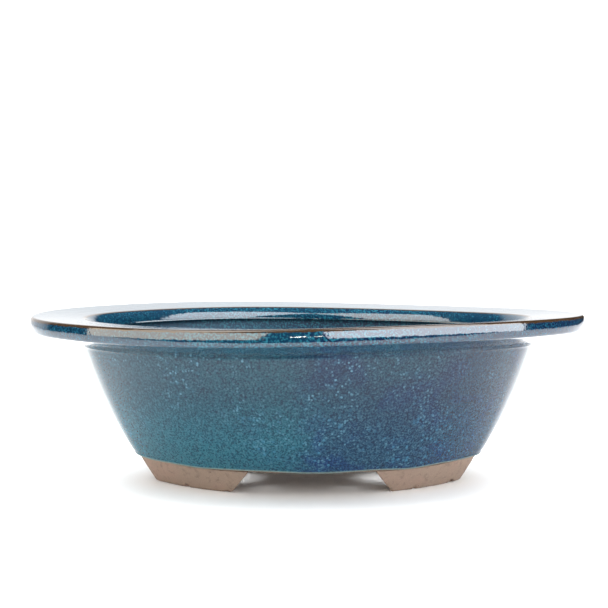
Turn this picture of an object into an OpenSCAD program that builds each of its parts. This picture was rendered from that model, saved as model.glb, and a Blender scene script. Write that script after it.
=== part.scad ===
// Oval bonsai pot with a broad turned-out lip.
// The clay body is a floor, a wall, a lip and four feet. A coat of glaze covers the lip, the outside
// of the wall and the top of the inside. A mesh screen lies over each drain hole, held by a bent wire.
// Origin: middle of the pot on the ground. +X runs along the pot, +Y across it and +Z up.

/* [Pot] */
// Length over the lip
pot_length = 300; // [280:5:360]
// Width over the lip
pot_width = 222; // [212:2:240]
// Height from the ground to the top of the lip
pot_height = 91; // [85:1:120]
// Radius of the lip's outline at each end
end_radius = 79.5; // [79:0.5:90]

/* [Lip] */
// Width of the lip from its edge to the top of the wall
lip_reach = 28; // [26:0.5:30]
// Depth of the lip's outer edge
lip_edge = 8.5; // [7:0.5:10]
// Drop of the lip's underside from its edge to the wall
lip_under_drop = 6.4; // [4:0.2:8]
// Width of the level part of the lip's top
lip_level = 16; // [10:1:18]
// Drop of the lip's top from its level part to the inside
lip_top_drop = 1.8; // [1.6:0.2:2.4]
// Height of the plain band under the lip
neck_height = 1.8; // [1:0.2:3]

/* [Wall] */
// Thickness of the wall, measured level
wall_thickness = 7.2; // [6:0.2:9]
// Distance that the wall leans in on its way down
wall_lean = 28.6; // [20:0.2:30]
// Height of the wall's outward bow over a straight line
wall_bow = 2.4; // [0.5:0.1:4]
// Radius of the cove between the wall and the floor inside
cove_radius = 7; // [4:0.5:8]

/* [Floor] */
// Thickness of the floor
floor_thickness = 6.5; // [5:0.5:9]
// Diameter of each drain hole
drain_diameter = 22; // [21:0.5:24]
// Distance of each drain hole from the middle of the pot
drain_distance = 41; // [34:1:46]
// Diameter of the four holes for the wire that ties the tree down
tie_hole_diameter = 5; // [4:0.5:6]
// Spacing of the tie holes along the pot
tie_spacing_x = 44; // [36:1:46]
// Spacing of the tie holes across the pot
tie_spacing_y = 54; // [40:1:56]

/* [Feet] */
// Height of the feet
foot_height = 13; // [9:0.5:16]
// Distance that the feet lean in on their way down
foot_lean = 7.6; // [4:0.2:8]
// Thickness of a foot where it stands
foot_thickness = 8; // [6:0.5:9]
// Width of the long arches at the top
arch_width = 65; // [56:1:72]
// Width of the gap between the feet at each end, at the top
end_gap = 8; // [6:0.5:10]
// Slope of a foot's cut ends from upright
foot_end_slope = 32; // [10:1:36]
// Radius of the corner at the bottom of a foot's long cut end
foot_corner = 3; // [1:0.5:4]

/* [Glaze] */
// Thickness of the glaze
glaze = 0.6; // [0.4:0.1:0.8]
// Gap between the feet and the lower edge of the glaze
glaze_hem = 0.7; // [0.5:0.1:2]
// Depth of the glaze inside, below the top of the lip
glaze_inside_depth = 27; // [20:1:40]

/* [Screens and clips] */
// Spacing of the holes in a mesh screen
mesh_pitch = 3.1; // [3:0.1:3.4]
// Thickness of the bars of a mesh screen
mesh_bar = 0.8; // [0.6:0.1:0.9]
// Thickness of a mesh screen
mesh_thickness = 1.2; // [1:0.1:2]
// Diameter of the clip wire
wire_diameter = 1.5; // [1:0.1:1.6]
// Length of each clip leg under the floor
leg_length = 9; // [6:0.5:11]

/* [Hidden] */
$fn = 96;

clay_colour = [0.55, 0.47, 0.41];
glaze_colour = [0.18, 0.35, 0.45];
lip_colour = [0.10, 0.24, 0.36];
mesh_colour = [0.08, 0.08, 0.08];
wire_colour = [0.75, 0.75, 0.77];

// The lip's outline is an oval of four arcs. The end arcs are centred on the long axis, the side
// arcs on the cross axis, and they join where the line between two centres meets the outline.
half_length = pot_length / 2;
half_width = pot_width / 2;
end_centre = half_length - end_radius;
side_radius = (pow(end_centre, 2) + pow(half_width, 2) - pow(end_radius, 2)) / (2 * (half_width - end_radius));
side_centre = side_radius - half_width;
join_angle = atan2(side_centre, end_centre);

// Heights
floor_top = foot_height + floor_thickness;
glaze_bottom = foot_height + glaze_hem;
glaze_inside_bottom = pot_height - glaze_inside_depth;
crease = pot_height - lip_edge - lip_under_drop;
neck_bottom = crease - neck_height;

// In every profile, x is the distance out from the lip's outline, so it is negative inside it.
// The outside of the wall is one shallow arc from under the neck to the feet, tucked in at the bottom.
wall_top_x = -lip_reach;
wall_foot_x = -lip_reach - wall_lean;
wall_chord = norm([wall_lean, neck_bottom - foot_height]);
bow_radius = (pow(wall_chord / 2, 2) + pow(wall_bow, 2)) / (2 * wall_bow);
wall_tilt = atan2(wall_lean, neck_bottom - foot_height);
bow_middle = [(wall_top_x + wall_foot_x) / 2, (neck_bottom + foot_height) / 2];
bow_centre = bow_middle - (bow_radius - wall_bow) * [cos(wall_tilt), -sin(wall_tilt)];
tuck_radius = 4.5;
tuck_height = 3;

function toward(angle) = [cos(angle), sin(angle)];

function arc(centre, radius, from, to, steps) =
    [for (i = [0:steps]) centre + radius * toward(from + (to - from) * i / steps)];

function tuck(z) =
    let (depth = max(0, foot_height + tuck_height - z)) tuck_radius - sqrt(pow(tuck_radius, 2) - pow(depth, 2));

// Distance out of the finished outside of the wall at a height
function outside_x(z) = bow_centre.x + sqrt(pow(bow_radius, 2) - pow(z - bow_centre.y, 2)) - tuck(z);

// Distance out of the finished inside of the wall at a height
function inside_x(z) = outside_x(max(z, foot_height + tuck_height)) - wall_thickness;

function outside_points(bottom, top, skin, steps) =
    [for (i = [0:steps]) let (z = bottom + (top - bottom) * i / steps) [outside_x(z) - skin, z]];

function inside_points(top, bottom, skin, steps) =
    [for (i = [0:steps]) let (z = top + (bottom - top) * i / steps) [inside_x(z) + skin, z]];

// The neck is a narrow band that stands a little proud of the wall, under the lip.
neck_proud = 0.5;
function neck_points(skin) = [
    [outside_x(neck_bottom) + neck_proud - skin, neck_bottom + neck_proud],
    [wall_top_x + neck_proud - skin, crease]
];

// The lip's section has a bowed edge with rounded corners, and every skin of it turns about the
// same centres.
// The top runs in to a rounded shoulder, which ends in a bead over the inside of the wall.
edge_bow_radius = 14;
edge_bow_up = 16;
edge_bow_down = 8;
edge_bottom_radius = 2;
edge_top_radius = 1.3;
shoulder_radius = 9.4;
bead_radius = 1.1;
shoulder_start = 112;
shoulder_end = 165;
bead_end = 250;
lip_slope = atan2(lip_under_drop, lip_reach);
edge_bow_centre = [
    -edge_bow_radius,
    pot_height - edge_top_radius - (edge_bow_radius - edge_top_radius) * sin(edge_bow_up)
];
edge_top_centre = edge_bow_centre + (edge_bow_radius - edge_top_radius) * toward(edge_bow_up);
edge_bottom_centre = edge_bow_centre + (edge_bow_radius - edge_bottom_radius) * toward(-edge_bow_down);
inner_corner = [-lip_reach - 0.8, pot_height - lip_top_drop];
shoulder_centre = inner_corner - shoulder_radius * toward(shoulder_start);
bead_centre = shoulder_centre + (shoulder_radius - bead_radius) * toward(shoulder_end);
bead_foot = bead_centre.y - 2 * bead_radius;

function lip_points(skin) = concat(
    arc(edge_bottom_centre, edge_bottom_radius - skin, lip_slope - 90, -edge_bow_down, 3),
    arc(edge_bow_centre, edge_bow_radius - skin, -edge_bow_down / 2, edge_bow_down / 2, 2),
    arc(edge_top_centre, edge_top_radius - skin, edge_bow_up, 90, 3),
    [[-lip_level, pot_height - skin]],
    arc(shoulder_centre, shoulder_radius - skin, shoulder_start, shoulder_end, 6),
    arc(bead_centre, bead_radius - skin, shoulder_end + 42, bead_end, 1),
    [for (z = [bead_foot, crease]) [inside_x(z) + skin, z]]
);

// The wall stands on the floor and carries the lip. A cove rounds the inner foot of the wall.
cove_tilt = asin((bow_centre.y - floor_top - cove_radius) / bow_radius);
cove_centre = [inside_x(floor_top + cove_radius) - cove_radius / cos(cove_tilt), floor_top + cove_radius];
cove_top = cove_centre.y - cove_radius * sin(cove_tilt);
cove_end = -75;

function wall_outline() = concat(
    outside_points(floor_top, neck_bottom, glaze, 10),
    neck_points(glaze),
    [for (z = [crease, glaze_inside_bottom]) [inside_x(z) + glaze, z]],
    inside_points(glaze_inside_bottom, cove_top, 0, 6),
    arc(cove_centre, cove_radius, -cove_tilt - 8, cove_end, 5),
    [[cove_centre.x + cove_radius * cos(cove_end), floor_top]]
);

// The floor's edge carries on the line of the wall. A ring with that edge is swept round the oval,
// and a many-sided core whose corners lie inside the ring fills the middle.
floor_ring_width = 14;
core_x = outside_x(floor_top) - floor_ring_width / 2;

function floor_ring_outline() = concat(
    outside_points(foot_height, floor_top, glaze, 5),
    [for (z = [floor_top, foot_height]) [outside_x(floor_top) - floor_ring_width, z]]
);

function core_quarters(turn) = [for (p = concat(
    arc([end_centre, 0], end_radius + core_x, -join_angle * 0.8, join_angle * 0.8, 2),
    arc([0, -side_centre], side_radius + core_x, join_angle, 180 - join_angle, 5)
)) turn * p];

foot_edge = 0.8;
foot_top_x = outside_x(foot_height) - glaze;
foot_bottom_x = foot_top_x - foot_lean;
foot_inner_x = foot_bottom_x - foot_thickness;

function foot_outline() = [
    [foot_top_x, foot_height],
    [foot_bottom_x + foot_edge / 2, foot_edge],
    [foot_bottom_x - foot_edge, 0],
    [foot_inner_x + foot_edge, 0],
    [foot_inner_x, foot_edge],
    [foot_inner_x, foot_height]
];

// Sweeps a profile round the oval, one arc at a time.
module around_oval() {
    for (turn = [0, 180]) rotate([0, 0, turn]) {
        translate([end_centre, 0, 0])
            rotate_extrude(angle = 2 * join_angle, start = -join_angle)
                translate([end_radius, 0]) children();
        translate([0, -side_centre, 0])
            rotate_extrude(angle = 180 - 2 * join_angle, start = join_angle)
                translate([side_radius, 0]) children();
    }
}

module wall() {
    color(clay_colour) around_oval() polygon(wall_outline());
}

module floor_slab() {
    around_oval() polygon(floor_ring_outline());
    translate([0, 0, foot_height]) linear_extrude(floor_thickness)
        polygon(concat(core_quarters(1), core_quarters(-1)));
}

module drill(x, y, diameter) {
    translate([x, y, foot_height - 1]) cylinder(h = floor_thickness + 2, d = diameter);
}

module floor() {
    color(clay_colour) difference() {
        floor_slab();
        for (x = [-1, 1]) drill(x * drain_distance, 0, drain_diameter);
        for (x = [-1, 1], y = [-1, 1]) drill(x * tie_spacing_x / 2, y * tie_spacing_y / 2, tie_hole_diameter);
    }
}

module lip() {
    color(clay_colour) around_oval() polygon(concat([neck_points(glaze)[1]], lip_points(glaze)));
}

// One foot fills a quarter of the foot ring. Its ends are cut on a slope, wider apart on the ground.
module foot(side_x, side_y) {
    spread = foot_height * tan(foot_end_slope);
    arch_top = arch_width / 2;
    corner_x = arch_top + spread + foot_corner * tan(45 - foot_end_slope / 2);
    cut_end = concat(
        [[arch_top, foot_height]],
        arc([corner_x, foot_corner], foot_corner, 180 + foot_end_slope, 270, 5)
    );
    color(clay_colour) mirror([side_x < 0 ? 1 : 0, 0, 0]) mirror([0, side_y < 0 ? 1 : 0, 0])
        intersection() {
            around_oval() polygon(foot_outline());
            translate([0, half_width, 0]) rotate([90, 0, 0]) linear_extrude(half_width)
                polygon(concat(cut_end, [[half_length, 0], [half_length, foot_height]]));
            rotate([90, 0, 90]) linear_extrude(half_length)
                polygon([
                    [end_gap / 2, foot_height],
                    [end_gap / 2 + foot_height * tan(foot_end_slope / 4), 0],
                    [half_width, 0],
                    [half_width, foot_height]
                ]);
        }
}

module foot_front_left() foot(-1, -1);
module foot_front_right() foot(1, -1);
module foot_back_left() foot(-1, 1);
module foot_back_right() foot(1, 1);

// The glaze is a skin on the clay, in three coats that meet under the lip and inside below it.
module glaze_outside() {
    color(glaze_colour) around_oval() polygon(concat(
        outside_points(glaze_bottom, neck_bottom, 0, 12),
        neck_points(0),
        [neck_points(glaze)[1], neck_points(glaze)[0]],
        outside_points(neck_bottom, glaze_bottom, glaze, 12)
    ));
}

module glaze_lip() {
    color(lip_colour) around_oval() difference() {
        polygon(concat([neck_points(0)[1]], lip_points(0)));
        polygon(concat([neck_points(glaze)[1] - [0, 1]], [neck_points(glaze)[1]], lip_points(glaze),
            [[inside_x(crease) + glaze, crease - 1]]));
    }
}

module glaze_inside() {
    color(lip_colour) around_oval() polygon([
        [inside_x(crease), crease],
        [inside_x(crease) + glaze, crease],
        [inside_x(glaze_inside_bottom) + glaze, glaze_inside_bottom],
        [inside_x(glaze_inside_bottom), glaze_inside_bottom]
    ]);
}

// A square of moulded mesh over a drain hole.
mesh_holes = 9;
mesh_hole = mesh_pitch - mesh_bar;
mesh_rim = 1.6;
mesh_side = mesh_pitch * (mesh_holes - 1) + mesh_hole + 2 * mesh_rim;

module drain_screen(side) {
    color(mesh_colour) translate([side * drain_distance, 0, floor_top]) linear_extrude(mesh_thickness)
        difference() {
            square(mesh_side, center = true);
            for (i = [-4:4], j = [-4:4]) translate([i, j] * mesh_pitch) square(mesh_hole, center = true);
        }
}

module drain_screen_left() drain_screen(-1);
module drain_screen_right() drain_screen(1);

// A bent wire that lies across a screen. Its legs go down through the drain hole and out under the floor.
wire_radius = wire_diameter / 2;
bend_radius = 1.2;
wire_gap = 0.05;
leg_x = 3 * mesh_pitch;
bar_z = floor_top + mesh_thickness + wire_gap + wire_radius;
leg_z = foot_height - wire_gap - wire_radius;

module bend(turn) {
    rotate([90, 0, 0]) rotate_extrude(angle = 90, start = turn)
        translate([bend_radius, 0]) circle(wire_radius, $fn = 32);
}

module rod(from, length, direction) {
    translate(from) rotate(direction) cylinder(h = length, r = wire_radius, $fn = 32);
}

module clip_half() {
    upper = bar_z - bend_radius;
    lower = leg_z + bend_radius;
    rod([0, 0, bar_z], leg_x - bend_radius, [0, 90, 0]);
    translate([leg_x - bend_radius, 0, upper]) bend(0);
    rod([leg_x, 0, lower], upper - lower, [0, 0, 0]);
    translate([leg_x + bend_radius, 0, lower]) bend(180);
    rod([leg_x + bend_radius, 0, leg_z], leg_length, [0, 90, 0]);
}

module screen_clip(side) {
    color(wire_colour) translate([side * drain_distance, 0, 0]) {
        clip_half();
        mirror([1, 0, 0]) clip_half();
    }
}

module screen_clip_left() screen_clip(-1);
module screen_clip_right() screen_clip(1);

wall();
floor();
lip();
foot_front_left();
foot_front_right();
foot_back_left();
foot_back_right();
glaze_outside();
glaze_lip();
glaze_inside();
drain_screen_left();
drain_screen_right();
screen_clip_left();
screen_clip_right();
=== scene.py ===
# %% [markdown]
# # A glazed oval bonsai pot
# The pot is stoneware: a wall, a floor, a broad turned-out lip and four block feet, luted together
# while the clay is damp. A blue glaze covers the lip, the outside and the top of the inside. The feet
# and the inside stay bare. The imported model fixes every size and place, so it is loaded first, and
# the main sizes below are worked out from its box; the rest are given.

from math import asin, atan2, cos, hypot, pi, radians, sin, sqrt, tanh

import bpy
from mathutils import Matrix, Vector, noise


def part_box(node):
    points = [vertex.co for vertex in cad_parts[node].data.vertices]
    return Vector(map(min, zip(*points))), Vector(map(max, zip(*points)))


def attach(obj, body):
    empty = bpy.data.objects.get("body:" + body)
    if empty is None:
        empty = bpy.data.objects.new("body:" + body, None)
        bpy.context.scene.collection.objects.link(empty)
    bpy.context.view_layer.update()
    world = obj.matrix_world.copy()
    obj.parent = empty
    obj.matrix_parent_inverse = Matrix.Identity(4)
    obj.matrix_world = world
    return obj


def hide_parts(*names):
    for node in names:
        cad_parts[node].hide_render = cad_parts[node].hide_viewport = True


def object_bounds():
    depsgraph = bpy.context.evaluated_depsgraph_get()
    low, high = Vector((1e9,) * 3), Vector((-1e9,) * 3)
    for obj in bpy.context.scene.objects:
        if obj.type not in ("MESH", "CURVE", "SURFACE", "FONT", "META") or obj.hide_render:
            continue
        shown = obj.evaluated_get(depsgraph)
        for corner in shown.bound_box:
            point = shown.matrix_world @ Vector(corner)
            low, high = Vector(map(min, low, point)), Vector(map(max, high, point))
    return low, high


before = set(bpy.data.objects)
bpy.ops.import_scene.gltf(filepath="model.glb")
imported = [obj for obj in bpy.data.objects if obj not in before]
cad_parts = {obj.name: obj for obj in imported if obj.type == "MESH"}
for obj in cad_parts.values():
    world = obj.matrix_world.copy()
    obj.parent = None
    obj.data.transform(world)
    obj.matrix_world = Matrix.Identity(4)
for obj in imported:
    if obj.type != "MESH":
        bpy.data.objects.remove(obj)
cad_box = [list(corner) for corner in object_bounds()]
mm = 0.001
half_length, half_width, pot_height = cad_box[1]
print("pot, mm:", [round(2 * half_length / mm), round(2 * half_width / mm), round(pot_height / mm)])

# %% [markdown]
# ## The camera and the light
# The pot is seen from the front, a little above its rim, through a long lens. It stands on a sheet of
# white paper between two big softboxes, one each side of the camera. A glossy rim shows what is in
# front of it, so the softboxes stand where their reflections are wanted: each fills the view from
# straight ahead round to one side, with a narrow dark gap between them. Two more hang higher, where the
# rounded shoulder at the back of the lip mirrors them, and two small lamps make the sparks in the gap.
# All these only draw reflections. The even light comes from the white room and from a wide softbox
# overhead, which whitens the paper.

# %% Camera
camera = bpy.data.objects.new("camera", bpy.data.cameras.new("camera"))
bpy.context.scene.collection.objects.link(camera)
bpy.context.scene.camera = camera
camera.location = (-0.002, -0.651, 0.1338)
camera.rotation_euler = (radians(86.68), radians(0.06), 0)
camera.data.lens = 70.6
camera.data.sensor_width = 36
camera.data.clip_start = 0.01
print("camera, mm:", [round(c / mm) for c in camera.location], "lens:", round(camera.data.lens, 1))


# %% Lights
def soft_light(name, place, aim, size, watts, colour, lights_clay=False):
    data = bpy.data.lights.new(name, "AREA")
    data.shape = "RECTANGLE"
    data.size, data.size_y = size
    data.energy = watts
    data.color = colour
    lamp = bpy.data.objects.new(name, data)
    bpy.context.scene.collection.objects.link(lamp)
    lamp.location = place
    lamp.rotation_euler = (Vector(aim) - Vector(place)).to_track_quat("-Z", "Y").to_euler()
    lamp.visible_camera = False
    lamp.visible_diffuse, lamp.visible_glossy = lights_clay, not lights_clay


aim = (0, 0, 0.08)
soft_light("left_softbox", (-1.02, -0.86, 0.36), aim, (1.86, 0.72), 29, (1.0, 0.87, 0.68))
soft_light("right_softbox", (0.89, -0.90, 0.36), aim, (2.00, 0.72), 50, (0.93, 0.965, 1.0))
soft_light("left_high_softbox", (-0.71, -0.58, 1.28), aim, (1.1, 1.2), 29, (1.0, 0.97, 0.92))
soft_light("right_high_softbox", (0.71, -0.58, 1.28), aim, (1.1, 1.2), 36, (0.93, 0.95, 1.0))
soft_light("small_lamp", (-0.06, -1.10, 0.20), aim, (0.075, 0.03), 0.5, (1.0, 0.97, 0.88))
soft_light("smaller_lamp", (0.07, -1.10, 0.20), aim, (0.04, 0.025), 0.16, (1.0, 0.93, 0.75))
soft_light("top_softbox", (0.0, 0.1, 1.6), aim, (2.6, 2.2), 98, (1.0, 1.0, 1.0), True)
soft_light("side_fill", (1.6, -0.7, 0.5), aim, (0.8, 0.8), 6, (1.0, 0.97, 0.94), True)
bpy.context.scene.view_settings.view_transform = "Standard"

# %% [markdown]
# ## Shader maths in plain Python
# A glaze is a pile of masks: drifts, mottles and flecks. They are far easier to read as sums than as
# wires, so one small class wraps a socket and turns +, - and * into Math nodes. A second one holds the
# material being mixed and makes every other node.


# %% Values and finishes
class Value:
    """A socket with arithmetic: each operator adds a Math node."""

    def __init__(self, finish, socket):
        self.finish, self.socket = finish, socket

    def math(self, operation, *inputs):
        return self.finish.node("ShaderNodeMath", {"operation": operation}, inputs)

    def __add__(self, other):
        return self.math("ADD", self, other)

    def __sub__(self, other):
        return self.math("SUBTRACT", self, other)

    def __rsub__(self, other):
        return self.math("SUBTRACT", other, self)

    def __mul__(self, other):
        return self.math("MULTIPLY", self, other)

    __radd__, __rmul__ = __add__, __mul__


class Finish:
    """A material being mixed, with the nodes that the recipes below need."""

    def __init__(self, name):
        self.material = bpy.data.materials.new(name)
        self.material.use_nodes = True
        self.tree = self.material.node_tree
        self.tree.nodes.clear()
        self.place = self.node("ShaderNodeTexCoord", output="Object")

    def node(self, kind, settings=None, inputs=(), output=0):
        new = self.tree.nodes.new(kind)
        for key, value in (settings or {}).items():
            setattr(new, key, value)
        for key, value in inputs.items() if isinstance(inputs, dict) else enumerate(inputs):
            if isinstance(value, Value):
                self.tree.links.new(value.socket, new.inputs[key])
            else:
                new.inputs[key].default_value = value
        return Value(self, new.outputs[output])

    def height(self):
        return self.node("ShaderNodeSeparateXYZ", None, [self.place], "Z")

    def across(self):
        return self.node("ShaderNodeSeparateXYZ", None, [self.place], "X")

    def moved(self, x, y, z):
        return self.node("ShaderNodeVectorMath", {"operation": "ADD"}, [self.place, (x, y, z)])

    def cloud(self, size, detail=3.0, roughness=0.5, distortion=0.0, at=None):
        """Noise from 0 to 1 whose lumps are about this size in metres."""
        inputs = {"Vector": at or self.place, "Scale": 1 / size, "Detail": detail,
                  "Roughness": roughness, "Distortion": distortion}
        return self.node("ShaderNodeTexNoise", None, inputs)

    def cells(self, size, output="Distance", at=None):
        inputs = {"Vector": at or self.place, "Scale": 1 / size}
        return self.node("ShaderNodeTexVoronoi", None, inputs, output)

    def step(self, value, low, high):
        """A soft step: 0 where the value is below low, 1 above high."""
        inputs = {"Value": value, "From Min": low, "From Max": high}
        return self.node("ShaderNodeMapRange", {"interpolation_type": "SMOOTHSTEP"}, inputs)

    def mix(self, first, second, mask):
        return self.node("ShaderNodeMix", {"data_type": "RGBA"}, {0: mask, 6: first, 7: second}, 2)

    def spots(self, size, radius, share, at=None):
        """Round spots: each cell of this size has one if its own random number is under share."""
        inside = 1 - self.step(self.cells(size, at=at), radius * 0.55, radius)
        colour = self.cells(size, "Color", at)
        own = self.node("ShaderNodeSeparateColor", None, [colour])
        return inside * (1 - self.step(own, share - 0.02, share + 0.02))

    def attribute(self, name):
        return self.node("ShaderNodeAttribute", {"attribute_name": name}, output="Fac")

    def bump(self, height, depth, strength=1.0):
        inputs = {"Strength": strength, "Distance": depth, "Height": height}
        return self.node("ShaderNodeBump", None, inputs)

    def surface(self, **inputs):
        inputs = {key.replace("_", " "): value for key, value in inputs.items()}
        return self.node("ShaderNodeBsdfPrincipled", None, inputs)

    def blend(self, first, second, mask):
        """Two surfaces, the second one where the mask is 1."""
        return self.node("ShaderNodeMixShader", None, [mask, first, second])

    def done(self, surface):
        output = self.tree.nodes.new("ShaderNodeOutputMaterial")
        self.tree.links.new(surface.socket, output.inputs["Surface"])
        print("finish:", self.material.name, "with", len(self.tree.nodes), "nodes")
        return self.material


def colour(red, green, blue):
    """A paint-chart colour, 0 to 255, as the linear light that a shader wants."""
    channels = [c / 255 for c in (red, green, blue)]
    return [c / 12.92 if c < 0.04045 else ((c + 0.055) / 1.055) ** 2.4 for c in channels] + [1]


# %% [markdown]
# ## The room
# The room is white to the camera and lights the clay evenly. A shiny glaze sees it more exactly: very
# bright behind the pot, where the backdrop is lit, and dark behind the camera.


# %% Room
class Room(Finish):
    """The world, mixed with the same nodes as a finish."""

    def __init__(self, name):
        world = bpy.data.worlds.new(name)
        bpy.context.scene.world = world
        world.use_nodes = True
        self.tree = world.node_tree
        self.tree.nodes.clear()

    def lit(self, strength):
        light = self.node("ShaderNodeBackground", None, {"Color": (1, 1, 1, 1), "Strength": strength})
        output = self.tree.nodes.new("ShaderNodeOutputWorld")
        self.tree.links.new(light.socket, output.inputs["Surface"])


def white_room():
    room = Room("white_room")
    direction = room.node("ShaderNodeTexCoord", output="Generated")
    sideways, back, up = (room.node("ShaderNodeSeparateXYZ", None, [direction], axis) for axis in "XYZ")
    backdrop = room.step(back - 0.45 * sideways, 0.74, 0.90)
    ceiling = room.step(up, 0.55, 0.85)
    shiny = room.node("ShaderNodeLightPath", output="Is Glossy Ray")
    seen = 0.04 + 1.32 * backdrop + 0.1 * ceiling
    to_clay = 1.45
    room.lit(to_clay + shiny * (seen - to_clay))
    print("room:", len(room.tree.nodes), "nodes")


white_room()

# %% [markdown]
# ## Blue glaze on the wall
# The glaze is a reactive one: as it melts it separates into slate, teal and navy, and throws up pale
# turquoise flecks. It is mixed from large to small: a drift of colour along the pot, clouds the size
# of a thumb, mottling of a few millimetres, then flecks of half a millimetre to two. Where it rolls
# to a stop above the feet it is thick and pale. Higher up it is mixed into dark navy, a painted shade
# that makes the wall darker towards the top. It has a satin surface.


# %% Wall glaze
def glaze_colours(finish, teal, slate, navy, deep):
    drift = finish.cloud(0.09, 2.0) + finish.across() * 1.1
    patches = finish.cloud(0.022, 4.0, 0.6, 0.6)
    mottle = finish.cloud(0.0042, 5.0, 0.65)
    base = finish.mix(teal, slate, finish.step(drift, 0.42, 0.68))
    navy_mask = finish.step(patches, 0.46, 0.70) * finish.step(drift, 0.38, 0.62)
    base = finish.mix(base, navy, navy_mask * 0.6)
    return finish.mix(base, deep, finish.step(mottle, 0.50, 0.72) * 0.4), patches, mottle


def wall_glaze():
    finish = Finish("wall_glaze")
    base, _, mottle = glaze_colours(
        finish, colour(32, 90, 104), colour(28, 62, 86), colour(16, 46, 96), colour(14, 42, 66))
    low = 1 - finish.step(finish.height(), 0.016, 0.060)
    # Painted shade: higher up, the wall is mixed into dark navy, so it is darker towards the top.
    base = finish.mix(colour(10, 26, 44), base, 0.36 + 0.64 * low)
    grain = finish.cloud(0.0010, 2.0, 0.7)
    right = finish.step(finish.across(), 0.02, 0.09)
    base = finish.mix(base, colour(5, 18, 40), finish.step(grain, 0.49, 0.60) * (0.70 + 0.28 * right))
    pale_grain = finish.step(0.98 - grain, 0.50, 0.66)
    base = finish.mix(base, colour(68, 104, 118), pale_grain * (0.26 + 0.34 * low))
    clusters = finish.step(finish.cloud(0.03, 3.0, 0.5, 0.0, finish.moved(0.4, 0.1, 0.2)), 0.40, 0.62)
    scattered = finish.step(finish.cloud(0.0040, 2.0, 0.5, 0.0, finish.moved(0.1, 0.6, 0.2)), 0.42, 0.58)
    specks = finish.spots(0.0016, 0.50, 0.50) * scattered
    base = finish.mix(base, colour(72, 116, 136), specks * (0.15 + 0.6 * clusters) * (1 - 0.6 * right))
    flecks = finish.spots(0.0025, 0.42, 0.34, finish.moved(0.2, 0.1, 0.3))
    base = finish.mix(base, colour(56, 114, 144), flecks * (0.15 + 0.45 * low) * clusters)
    hem = 1 - finish.step(finish.attribute("hem"), 0.0, 1.0)
    base = finish.mix(base, colour(120, 136, 128), finish.step(hem, 0.65, 0.95) * 0.7)
    relief = finish.cloud(0.0016, 3.0, 0.6) * 0.5 + mottle * 0.5
    return finish.done(finish.surface(
        Base_Color=base,
        Roughness=0.15 + 0.10 * grain,
        IOR=1.3,
        Coat_Weight=0.1,
        Coat_Roughness=0.15,
        Normal=finish.bump(relief, 0.0001, 0.6),
    ))


# %% [markdown]
# ## Rim glaze
# On the lip the same glaze ran thinner and cooled glossy. It is dark navy and bottle green with bright
# turquoise spots. Over a sharp edge it drains away and the iron in it shows as an amber line: potters
# say that it breaks. The lip's mesh carries that as an attribute called break, which the recipe reads.
# Another one, called satin, marks the glaze inside the pot, which is thin and has only a low shine.


# %% Rim glaze
def rim_glaze():
    finish = Finish("rim_glaze")
    base, patches, mottle = glaze_colours(
        finish, colour(6, 40, 60), colour(10, 30, 56), colour(4, 14, 48), colour(2, 8, 20))
    across = finish.across()
    ends = finish.step(across * across, 0.001, 0.008)
    granules = finish.step(finish.cloud(0.0011, 2.0, 0.6), 0.50, 0.58) * finish.step(patches, 0.30, 0.52)
    granules = granules * (1 - 0.65 * ends)
    base = finish.mix(base, colour(30, 88, 104), granules * 0.85)
    flecks = finish.spots(0.0012, 0.46, 0.34, finish.moved(0.3, 0.2, 0.1))
    base = finish.mix(base, colour(40, 100, 120), flecks * 0.4)
    ragged = finish.attribute("break") + (finish.cloud(0.003, 3.0) - 0.5) * 0.5
    base = finish.mix(base, colour(56, 37, 14), finish.step(ragged, 0.50, 0.72) * 0.9)
    base = finish.mix(base, colour(28, 18, 10), finish.step(ragged, 0.88, 1.0) * 0.6)
    relief = finish.bump(finish.cloud(0.004, 2.0), 0.0002, 0.5)
    glossy = finish.surface(
        Base_Color=base,
        Roughness=0.05 + 0.05 * mottle,
        IOR=1.5,
        Coat_Weight=0.15,
        Coat_Roughness=0.03,
        Normal=relief,
    )
    satin = finish.surface(Base_Color=base, Roughness=0.35 + 0.1 * mottle, IOR=1.2, Normal=relief)
    return finish.done(finish.blend(glossy, satin, finish.attribute("satin")))


# %% [markdown]
# ## Bare clay
# The feet, the underside and the inside are unglazed stoneware: taupe brown, quite matt, with fine
# sandy grain, faint pink flashes where the flame touched it and a few dark iron specks.


# %% Clay
def clay(name, body, flash):
    finish = Finish(name)
    blush = finish.cloud(0.018, 3.0, 0.5, 0.4)
    grain = finish.cloud(0.0006, 3.0, 0.7)
    coarse = finish.cloud(0.0035, 4.0, 0.6)
    base = finish.mix(body, flash, finish.step(blush, 0.45, 0.75) * 0.7)
    base = finish.mix(base, colour(96, 77, 64), finish.step(coarse, 0.50, 0.72) * 0.5)
    base = finish.mix(base, colour(176, 154, 136), finish.step(grain, 0.54, 0.70) * 0.30)
    base = finish.mix(base, colour(70, 52, 42), finish.spots(0.0034, 0.16, 0.10) * 0.6)
    return finish.done(finish.surface(
        Base_Color=base,
        Roughness=0.82 + 0.12 * grain,
        IOR=1.45,
        Normal=finish.bump(grain * 0.6 + coarse * 0.4, 0.0004, 0.7),
    ))


wall_glaze_finish = wall_glaze()
rim_glaze_finish = rim_glaze()
foot_clay = clay("foot_clay", colour(134, 114, 99), colour(144, 117, 103))
# The inside gets a darker copy of the same stoneware: painted shade against the strong light from above.
shaded_inner_clay = clay("shaded_inner_clay", colour(112, 93, 79), colour(120, 97, 83))

# %% [markdown]
# ## The pot's outlines
# Seen from above, the lip is an oval of four arcs: two tight ones round the ends and two wide ones
# along the sides. Every other outline of the pot lies a fixed distance inside that oval. So a section
# through the clay needs just two numbers for each point: how far out it is from the lip's outline
# (negative inside it), and how high.

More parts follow.
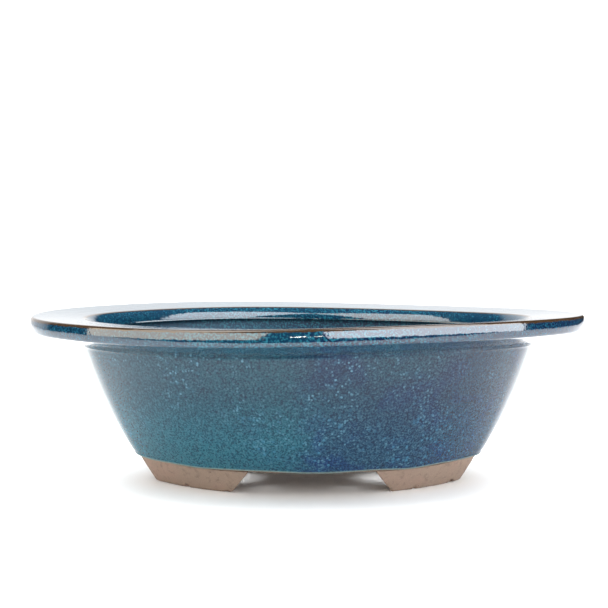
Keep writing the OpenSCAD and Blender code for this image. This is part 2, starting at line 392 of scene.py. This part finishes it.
# %% Outline of the lip
end_radius = 79.5 * mm
end_centre = half_length - end_radius
side_radius = (end_centre**2 + half_width**2 - end_radius**2) / (2 * (half_width - end_radius))
side_centre = side_radius - half_width
join_angle = atan2(side_centre, end_centre)
print("end arcs", round(end_radius / mm, 1), "side arcs", round(side_radius / mm, 1))


def reach(x, y):
    """How far out of the lip's outline a place is. It is negative inside."""
    x, y = abs(x), abs(y)
    if atan2(y, x - end_centre) < join_angle:
        return hypot(x - end_centre, y) - end_radius
    return hypot(x, y + side_centre) - side_radius


def arc(centre, radius, start, end, steps):
    turns = [radians(start + (end - start) * i / steps) for i in range(steps + 1)]
    return [(centre[0] + radius * cos(t), centre[1] + radius * sin(t)) for t in turns]


# %% Outline of the wall
glaze = 0.6 * mm
wall_thickness = 7.2 * mm
foot_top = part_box("floor")[0][2]
floor_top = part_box("floor")[1][2]
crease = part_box("wall")[1][2]
neck_bottom = crease - 1.8 * mm
neck_swell = 0.5 * mm
glaze_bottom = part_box("glaze_outside")[0][2]
inner_glaze_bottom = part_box("glaze_inside")[0][2]

lip_reach, wall_lean, bow = 28 * mm, 28.6 * mm, 2.4 * mm
chord = hypot(wall_lean, neck_bottom - foot_top)
bow_radius = ((chord / 2) ** 2 + bow**2) / (2 * bow)
tilt = atan2(wall_lean, neck_bottom - foot_top)
bow_x = -lip_reach - wall_lean / 2 - (bow_radius - bow) * cos(tilt)
bow_z = (neck_bottom + foot_top) / 2 + (bow_radius - bow) * sin(tilt)
neck_x = -lip_reach + neck_swell
tuck_radius, tuck_height = 4.5 * mm, 3 * mm


def outside(z):
    """Reach of the finished outside of the wall at a height."""
    depth = max(0, foot_top + tuck_height - z)
    tuck = tuck_radius - sqrt(tuck_radius**2 - depth**2)
    return bow_x + sqrt(bow_radius**2 - (z - bow_z) ** 2) - tuck


def inside(z):
    return outside(max(z, foot_top + tuck_height)) - wall_thickness


def climb(face, low, high, steps, skin=0.0):
    heights = [low + (high - low) * i / steps for i in range(steps + 1)]
    return [(face(z) + skin, z) for z in heights]


print("wall bow, mm:", round(bow_radius / mm), "foot of the wall:", round(outside(foot_top) / mm, 1))


# %% [markdown]
# ## Throwing a ring
# The wall, the lip and each coat of glaze are rings with one section all the way round. A potter
# would press them over a mould. Here the section is drawn as a loop of points and swept with Spin,
# once for each arc of the oval, and the end is merged with the start. In a file with no window, Spin
# turns clockwise as seen from above, so the sweep starts at the back right and comes round the front.
# Spin numbers its points the same way each time it runs, but not its faces. So the faces are sorted by
# the numbers of their points, and the piece comes out the same in every run.


# %% Sweep and settle
def deselect():
    if bpy.context.object and bpy.context.object.mode != "OBJECT":
        bpy.ops.object.mode_set(mode="OBJECT")
    bpy.ops.object.select_all(action="DESELECT")


def sort_faces(piece):
    """Lists each face from its lowest point on, and all the faces in the order of their points."""
    points = [vertex.co[:] for vertex in piece.data.vertices]
    faces = []
    for polygon in piece.data.polygons:
        corners = list(polygon.vertices)
        first = corners.index(min(corners))
        faces.append(corners[first:] + corners[:first])
    piece.data.clear_geometry()
    piece.data.from_pydata(points, [], sorted(faces))


def sweep(name, section, end_steps=72, side_steps=170):
    deselect()
    bpy.ops.mesh.primitive_circle_add(vertices=len(section), radius=end_radius, location=(0, 0, 0))
    ring = bpy.context.object
    ring.name = ring.data.name = name
    for vertex, (out, z) in zip(ring.data.vertices, section):
        along = end_radius + out
        vertex.co = (end_centre + along * cos(join_angle), along * sin(join_angle), z)
    bpy.ops.object.mode_set(mode="EDIT")
    bpy.ops.mesh.select_all(action="SELECT")
    end_turn, side_turn = 2 * join_angle, pi - 2 * join_angle
    for centre, turn, steps in (
        ((end_centre, 0, 0), end_turn, end_steps),
        ((0, side_centre, 0), side_turn, side_steps),
        ((-end_centre, 0, 0), end_turn, end_steps),
        ((0, -side_centre, 0), side_turn, side_steps),
    ):
        bpy.ops.mesh.spin(steps=steps, angle=turn, center=centre, axis=(0, 0, 1))
    bpy.ops.mesh.select_all(action="SELECT")
    bpy.ops.mesh.remove_doubles(threshold=0.00001)
    bpy.ops.mesh.normals_make_consistent(inside=False)
    bpy.ops.object.mode_set(mode="OBJECT")
    sort_faces(ring)
    return ring


# %% [markdown]
# ## What the kiln does
# Clay never comes out of the fire as true as it went in. This pot's rim took a slight twist: its front
# right and back left stand nearly 2 mm high, and the other two corners sit as low. Its floor settled
# between the feet, which leaves the tops of the feet 1.6 mm higher at the pot's ends, and 1 mm further
# out. The outline also wanders by a fraction of a millimetre. Every fired piece goes through this one
# function, so that the coats of glaze stay on their clay.


# %% Fire the clay
def rise(value, low, high):
    t = min(1.0, max(0.0, (value - low) / (high - low)))
    return t * t * (3 - 2 * t)


twist, twist_length = 0.017, 80 * mm
end_lift, end_spread, most_sway = 1.6 * mm, 1 * mm, 0.5 * mm


def warp(place):
    x, y, z = place
    share = rise(z, 20 * mm, 74 * mm)
    lift = -twist * tanh(x / twist_length) * y * share
    base = rise(z, 0, foot_top) * (1 - rise(z, 16 * mm, 36 * mm))
    ends = base * rise(abs(x), 55 * mm, 100 * mm)
    lift += end_lift * ends
    sway = most_sway * share * noise.noise(Vector((x * 9, y * 9, 0.3)))
    outward = Vector((x, y, 0)).normalized() * sway
    spread = end_spread * ends * (1 if x > 0 else -1)
    return Vector((x + spread, y, z + lift)) + outward


def fire(piece, finish, slot, *nodes):
    for vertex in piece.data.vertices:
        vertex.co = warp(vertex.co)
    piece.data.materials.append(finish)
    deselect()
    piece.select_set(True)
    bpy.context.view_layer.objects.active = piece
    bpy.ops.object.shade_smooth_by_angle(angle=radians(42))
    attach(piece, "root")
    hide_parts(*nodes)
    print("piece:", piece.name, len(piece.data.polygons), "faces, for", nodes)


def mark(piece, name, measure):
    """Stores a number on every point of a piece, for its finish to read."""
    attribute = piece.data.attributes.new(name, "FLOAT", "POINT")
    for vertex, value in zip(piece.data.vertices, attribute.data):
        value.value = measure(vertex.co)


# %% [markdown]
# ## Lip
# The lip is a flange 28 mm wide. Its edge bows out, with a small round above and a larger one below.
# Its top falls a little towards the inside and turns down over a rounded shoulder, which ends in a
# bead. The glaze is the same section with every corner's radius a skin's thickness larger.

# %% Lip section
edge_top_radius, edge_bottom_radius, edge_bow_radius = 1.3 * mm, 2 * mm, 14 * mm
edge_up, edge_down = 16, 8
shoulder_radius, bead_radius = 9.4 * mm, 1.1 * mm
shoulder_start, shoulder_end, bead_end = 112, 165, 250
top_drop, top_slope = 1.8 * mm, 3.8


def from_point(point, distance, angle):
    return (point[0] + distance * cos(radians(angle)), point[1] + distance * sin(radians(angle)))


bow_mid = pot_height - edge_top_radius - (edge_bow_radius - edge_top_radius) * sin(radians(edge_up))
edge_bow = (-edge_bow_radius, bow_mid)
edge_top = from_point(edge_bow, edge_bow_radius - edge_top_radius, edge_up)
edge_bottom = from_point(edge_bow, edge_bow_radius - edge_bottom_radius, -edge_down)
inner_corner = (-lip_reach - 0.8 * mm, pot_height - top_drop)
shoulder = from_point(inner_corner, -shoulder_radius, shoulder_start)
bead = from_point(shoulder, shoulder_radius - bead_radius, shoulder_end)


def lip_section(skin):
    top = arc(edge_top, edge_top_radius - skin, edge_up, 90 + top_slope, 7)
    corner = arc(shoulder, shoulder_radius - skin, shoulder_start, shoulder_end, 14)
    flat = [(top[-1][0] + (corner[0][0] - top[-1][0]) * i / 14,
             top[-1][1] + (corner[0][1] - top[-1][1]) * i / 14) for i in range(1, 14)]
    under_start = (neck_x - skin, crease)
    under_end = arc(edge_bottom, edge_bottom_radius - skin, -77, -edge_down, 7)
    under = [(under_start[0] + (under_end[0][0] - under_start[0]) * i / 12,
              under_start[1] + (under_end[0][1] - under_start[1]) * i / 12) for i in range(12)]
    bead_arc = arc(bead, bead_radius - skin, shoulder_end + 12, bead_end, 6)
    wall_end = [(inside(z) + skin, z) for z in (bead[1] - 2 * bead_radius, crease + 2 * mm, crease)]
    band = arc(edge_bow, edge_bow_radius - skin, -edge_down + 3, edge_up - 3, 8)
    return under + under_end + band + top + flat + corner + bead_arc + wall_end


def breaking(place):
    """1 where the glaze runs over the lip's two sharp edges, falling to 0 within 2.5 mm."""
    point = (reach(place.x, place.y), place.z)
    upper = (-0.9 * mm, pot_height - 0.5 * mm)
    fade = 2.5 * mm
    near = min(hypot(point[0] - corner[0], point[1] - corner[1]) for corner in (upper, inner_corner))
    return 1 - min(1.0, near / fade)


def is_inside(place):
    """Below the bead the glaze is thin and cools satin."""
    return reach(place.x, place.y) < -lip_reach - 2 * mm and place.z < bead[1]


lip = sweep("lip_clay", lip_section(glaze))
fire(lip, shaded_inner_clay, "clay", "lip")

glaze_lip = sweep("lip_glaze", lip_section(0) + lip_section(glaze)[::-1])
mark(glaze_lip, "break", breaking)
mark(glaze_lip, "satin", lambda place: float(is_inside(place)))
fire(glaze_lip, rim_glaze_finish, "glaze_rim", "glaze_lip")

# %% [markdown]
# ## Wall and its glaze
# The wall leans in by 29 mm on its way down, along one shallow bow. Inside, a cove rounds it into the
# floor. Outside, the glaze stops just above the feet in a thick rolled hem. The hem isn't cut to a
# line: it wanders up and down by half a millimetre, so the points near it are moved by slow noise.

# %% Wall
cove_radius = 7 * mm
cove_tilt = asin((bow_z - floor_top - cove_radius) / bow_radius)
cove_z = floor_top + cove_radius
cove_x = inside(cove_z) - cove_radius / cos(cove_tilt)
cove_end = -78


def wall_section():
    outer = climb(lambda z: outside(z) - glaze, floor_top, neck_bottom, 18)
    neck = [(neck_x - glaze, z) for z in (neck_bottom + neck_swell, crease)]
    under_glaze = climb(lambda z: inside(z) + glaze, crease, inner_glaze_bottom, 4)
    bare = climb(inside, inner_glaze_bottom, cove_z - cove_radius * sin(cove_tilt), 18)
    cove = arc((cove_x, cove_z), cove_radius, -cove_tilt * 180 / pi - 6, cove_end, 9)
    return outer + neck + under_glaze + bare + cove + [(cove[-1][0], floor_top)]


wall = sweep("wall_clay", wall_section())
fire(wall, shaded_inner_clay, "clay", "wall")


# %% Outer glaze
def hem_section():
    roll = 0.55 * mm
    centre = (outside(glaze_bottom + roll) - glaze + roll, glaze_bottom + roll)
    return arc(centre, roll, -190, -20, 8)


def outer_glaze_section():
    hem_top = glaze_bottom + 1.2 * mm
    outer = climb(outside, hem_top, neck_bottom, 64)
    neck = [(neck_x, z) for z in (neck_bottom + neck_swell, crease)]
    back = [(x - glaze, z) for x, z in neck[::-1]]
    clay_side = climb(lambda z: outside(z) - glaze, neck_bottom, glaze_bottom + 0.8 * mm, 16)
    return hem_section() + outer + neck + back + clay_side


def wander(piece, level, depth, amount):
    """Lets the end of a coat wander up and down. It fades out over the given depth."""
    for vertex in piece.data.vertices:
        fade = 1 - min(1.0, abs(vertex.co.z - level) / depth)
        if fade > 0:
            here = noise.noise(Vector((vertex.co.x * 38, vertex.co.y * 38, 0.7)))
            vertex.co.z += here * amount * fade


glaze_outside = sweep("outer_glaze", outer_glaze_section())
mark(glaze_outside, "hem", lambda place: min(1.0, (place.z - glaze_bottom) / (2.4 * mm)))
wander(glaze_outside, glaze_bottom, 8 * mm, 0.9 * mm)
fire(glaze_outside, wall_glaze_finish, "glaze_wall", "glaze_outside")


# %% Inner glaze
def inner_glaze_section():
    low = inner_glaze_bottom + 0.4 * mm
    front = climb(inside, crease, low, 12)
    back = climb(lambda z: inside(z) + glaze, low, crease, 12)
    return front + [(inside(low) + glaze * 0.5, low - 0.4 * mm)] + back


glaze_inside = sweep("inner_glaze", inner_glaze_section())
mark(glaze_inside, "break", lambda place: 0.0)
mark(glaze_inside, "satin", lambda place: 1.0)
wander(glaze_inside, inner_glaze_bottom, 8 * mm, 2.5 * mm)
fire(glaze_inside, rim_glaze_finish, "glaze_rim", "glaze_inside")

# %% [markdown]
# ## Floor
# The floor starts as a ring swept like the others, and its middle is filled from rim to rim. The
# drain holes and the holes for the tie wire are cut with cylinders. Then the whole slab is remeshed
# finely, which softens its cut edges as a damp sponge does, and its surface is roughened a little.


# %% Clay helpers
def apply_modifier(piece, kind, **settings):
    deselect()
    piece.select_set(True)
    bpy.context.view_layer.objects.active = piece
    modifier = piece.modifiers.new("work", kind)
    for key, value in settings.items():
        setattr(modifier, key, value)
    bpy.ops.object.modifier_apply(modifier=modifier.name)


def drill(piece, x, y, radius):
    deselect()
    place = (x, y, floor_top)
    bpy.ops.mesh.primitive_cylinder_add(vertices=64, radius=radius, depth=40 * mm, location=place)
    cutter = bpy.context.object
    apply_modifier(piece, "BOOLEAN", operation="DIFFERENCE", object=cutter, solver="EXACT")
    bpy.data.objects.remove(cutter)


def roughen(piece, size, amount):
    """Moves the points of a clay piece in and out by noise. None sinks below the ground."""
    moves = [v.normal * amount * noise.noise(v.co / size) for v in piece.data.vertices]
    for vertex, move in zip(piece.data.vertices, moves):
        vertex.co += move
        vertex.co.z = max(vertex.co.z, 0)


# %% Floor
drain_radius, wire_hole_radius = 11 * mm, 2.5 * mm
wire_hole_x, wire_hole_y = 22 * mm, 27 * mm
ring_width = 20 * mm


def floor_section():
    edge = climb(lambda z: outside(z) - glaze, foot_top, floor_top, 6)
    back = edge[-1][0] - ring_width
    return edge + [(back, floor_top), (back, foot_top)]


floor = sweep("floor_clay", floor_section(), end_steps=24, side_steps=60)
bpy.ops.object.mode_set(mode="EDIT")
bpy.ops.mesh.select_all(action="DESELECT")
bpy.ops.object.mode_set(mode="OBJECT")
back_reach = floor_section()[-1][0]
for face in floor.data.polygons:
    on_back = abs(reach(face.center.x, face.center.y) - back_reach) < 1 * mm
    face.select = on_back and abs(face.normal.z) < 0.1
bpy.ops.object.mode_set(mode="EDIT")
bpy.ops.mesh.delete(type="FACE")
bpy.ops.mesh.select_all(action="SELECT")
bpy.ops.mesh.fill_holes(sides=0)
bpy.ops.mesh.normals_make_consistent(inside=False)
bpy.ops.object.mode_set(mode="OBJECT")
sort_faces(floor)

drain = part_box("drain_screen_right")
drain_x = (drain[0][0] + drain[1][0]) / 2
for side in (-1, 1):
    drill(floor, side * drain_x, 0, drain_radius)
    for back in (-1, 1):
        drill(floor, side * wire_hole_x, back * wire_hole_y, wire_hole_radius)
apply_modifier(floor, "REMESH", mode="VOXEL", voxel_size=0.9 * mm)
roughen(floor, 9 * mm, 0.25 * mm)
fire(floor, shaded_inner_clay, "clay", "floor")

# %% [markdown]
# ## Feet
# The four feet carry the line of the wall down to the ground as a ring, cut by a long arch in front
# and behind and by a narrow gap at each end. The arches' ends slope, and each foot's corner there is
# rubbed round. The lower edges are chipped a little, as happens when a pot is dragged on a shelf.

# %% Feet
arch_top, end_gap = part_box("foot_back_right")[0][:2]
foot_lean, foot_thickness = 7.6 * mm, 8 * mm
foot_outer = outside(foot_top) - glaze
foot_slope = radians(35)
arch_shift = 2 * mm
chip_height = 2.2 * mm
print("arch, mm:", round(2 * arch_top / mm), "gap at each end:", round(2 * end_gap / mm))


def foot_section():
    ground = foot_outer - foot_lean
    back = ground - foot_thickness
    face = climb(lambda z: foot_outer - foot_lean * (1 - z / foot_top), 0.6 * mm, foot_top, 8)
    return face + [(back, foot_top), (back, 0.8 * mm), (back + 0.8 * mm, 0), (ground - 0.6 * mm, 0)]


def cut(piece, place, outward):
    """Slices a piece with a plane and keeps what lies behind it."""
    deselect()
    piece.select_set(True)
    bpy.context.view_layer.objects.active = piece
    bpy.ops.object.mode_set(mode="EDIT")
    bpy.ops.mesh.select_all(action="SELECT")
    bpy.ops.mesh.bisect(plane_co=place, plane_no=outward, use_fill=True, clear_outer=True)
    bpy.ops.object.mode_set(mode="OBJECT")
    sort_faces(piece)


def end_of_arch(piece, side, radius):
    """Cuts the sloping end of the arch, then rubs its lower corner round with three more cuts."""
    top = arch_shift + side * arch_top
    cut(piece, (top, 0, foot_top), (-side * cos(foot_slope), 0, -sin(foot_slope)))
    run = (radius + sin(foot_slope) * (foot_top - radius)) / cos(foot_slope)
    for turn in (48, 62, 76):
        outward = (-side * cos(radians(turn)), 0, -sin(radians(turn)))
        centre = (top + side * run, 0, radius)
        cut(piece, [c + radius * n for c, n in zip(centre, outward)], outward)


def chip(piece, seed):
    """Knocks small bites out of the lower outer edge."""
    for vertex in piece.data.vertices:
        x, y, z = vertex.co
        bite = noise.noise(Vector((x * 210, y * 210, seed))) - 0.32
        if bite > 0 and z < chip_height and reach(x, y) > foot_outer - foot_lean - 1.5 * mm:
            depth = min(bite * 5, 1.0) * (1 - z / chip_height)
            vertex.co.z += 1.5 * mm * depth
            vertex.co -= Vector((x, y, 0)).normalized() * 0.5 * mm * depth


def foot(name, side_x, side_y, seed, corner):
    piece = sweep(name + "_clay", foot_section(), end_steps=48, side_steps=90)
    end_of_arch(piece, side_x, corner)
    gap_slope = foot_slope / 4
    cut(piece, (0, side_y * end_gap, foot_top), (0, -side_y * cos(gap_slope), -sin(gap_slope)))
    apply_modifier(piece, "REMESH", mode="VOXEL", voxel_size=0.55 * mm)
    roughen(piece, 5 * mm, 0.18 * mm)
    chip(piece, seed)
    fire(piece, foot_clay, "clay", name)


foot("foot_front_left", -1, -1, 3.1, 3.5 * mm)
foot("foot_front_right", 1, -1, 8.6, 1.2 * mm)
foot("foot_back_left", -1, 1, 5.2, 2 * mm)
foot("foot_back_right", 1, 1, 1.7, 2.5 * mm)

# %% [markdown]
# ## Screens and clips
# A square of moulded plastic mesh lies over each drain hole, and a bent wire holds it down. Both are
# stock parts of exact size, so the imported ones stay, with finishes of their own.


# %% Screen and clip finishes
def screen_plastic():
    finish = Finish("screen_plastic")
    haze = finish.cloud(0.006, 3.0)
    base = finish.mix(colour(24, 30, 26), colour(46, 52, 46), finish.step(haze, 0.4, 0.7))
    return finish.done(finish.surface(
        Base_Color=base,
        Roughness=0.45 + 0.2 * haze,
        IOR=1.48,
        Normal=finish.bump(finish.cloud(0.0008), 0.0001, 0.4),
    ))


def clip_steel():
    finish = Finish("clip_steel")
    haze = finish.cloud(0.003, 3.0)
    base = finish.mix(colour(196, 196, 200), colour(150, 150, 154), finish.step(haze, 0.4, 0.7))
    return finish.done(finish.surface(
        Base_Color=base,
        Metallic=1.0,
        Roughness=0.28 + 0.2 * haze,
        Normal=finish.bump(finish.cloud(0.0005), 0.00005, 0.4),
    ))


def finish_node(name, material):
    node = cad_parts[name]
    node.data.materials.clear()
    node.data.materials.append(material)


plastic, steel = screen_plastic(), clip_steel()
for side in ("left", "right"):
    finish_node("drain_screen_" + side, plastic)
    finish_node("screen_clip_" + side, steel)

# %% [markdown]
# ## The paper it stands on
# White paper, a little warm, wide enough to fill the view.

# %% Stage
deselect()
bpy.ops.mesh.primitive_plane_add(size=4, location=(0, 1.6, 0))
paper = bpy.context.object
paper.name = "white_paper"


def paper_finish():
    finish = Finish("white_paper")
    base = finish.mix(colour(252, 252, 252), colour(247, 247, 246), finish.cloud(0.05))
    return finish.done(finish.surface(Base_Color=base, Roughness=0.9))


paper.data.materials.append(paper_finish())

# %% Sizes and finish
print("CAD box", cad_box)
